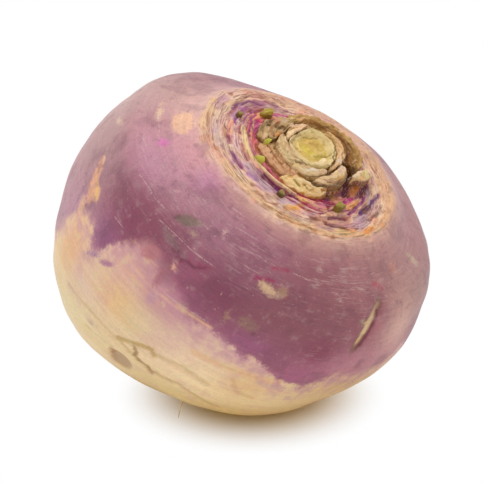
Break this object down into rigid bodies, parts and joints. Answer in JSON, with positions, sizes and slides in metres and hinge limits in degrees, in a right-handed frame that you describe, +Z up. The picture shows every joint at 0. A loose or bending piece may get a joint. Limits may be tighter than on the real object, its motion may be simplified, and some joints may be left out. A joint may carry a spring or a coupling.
{
  "type": "turnip",
  "caption": "Whole purple-topped turnip root, leaves cut off at the crown, lying on its side with its leaf scars and cut stem showing.",
  "frame": {"origin": "on the surface that the turnip rests on, under the middle of its bounding box", "axes": "+Z up; the crown leans 34 degrees from +Z, towards a bearing 36 degrees from +X on the -Y side"},
  "size_m": [0.0818, 0.0788, 0.0725],
  "materials": {
    "root_skin": "thin satin skin, purple round the crown and cream below",
    "cut_stem": "moist yellow-green cut flesh with a cream rim",
    "leaf_base_fresh": "cream to pinkish tan, faintly fibrous",
    "leaf_base_withered": "dry brown fibrous sheath",
    "leaf_base_corky": "lumpy cream cork",
    "bud_green": "satin yellow-green",
    "rootlet_dry": "dry pale fibre"
  },
  "bodies": {
    "root": {"root": "root_skin", "heart_stub": "cut_stem", "leaf_base_inner_front": "leaf_base_fresh", "leaf_base_inner_right": "leaf_base_fresh", "leaf_base_inner_left": "leaf_base_fresh", "leaf_base_left": "leaf_base_withered", "leaf_base_front": "leaf_base_withered", "leaf_base_right": "leaf_base_fresh", "leaf_base_crest": "leaf_base_corky", "leaf_base_outer_back": "leaf_base_withered", "leaf_base_outer_right": "leaf_base_corky", "bud_1": "bud_green", "bud_2": "bud_green", "bud_3": "bud_green", "bud_4": "bud_green", "bud_5": "bud_green", "bud_6": "bud_green", "rootlet": "rootlet_dry"}
  },
  "joints": []
}
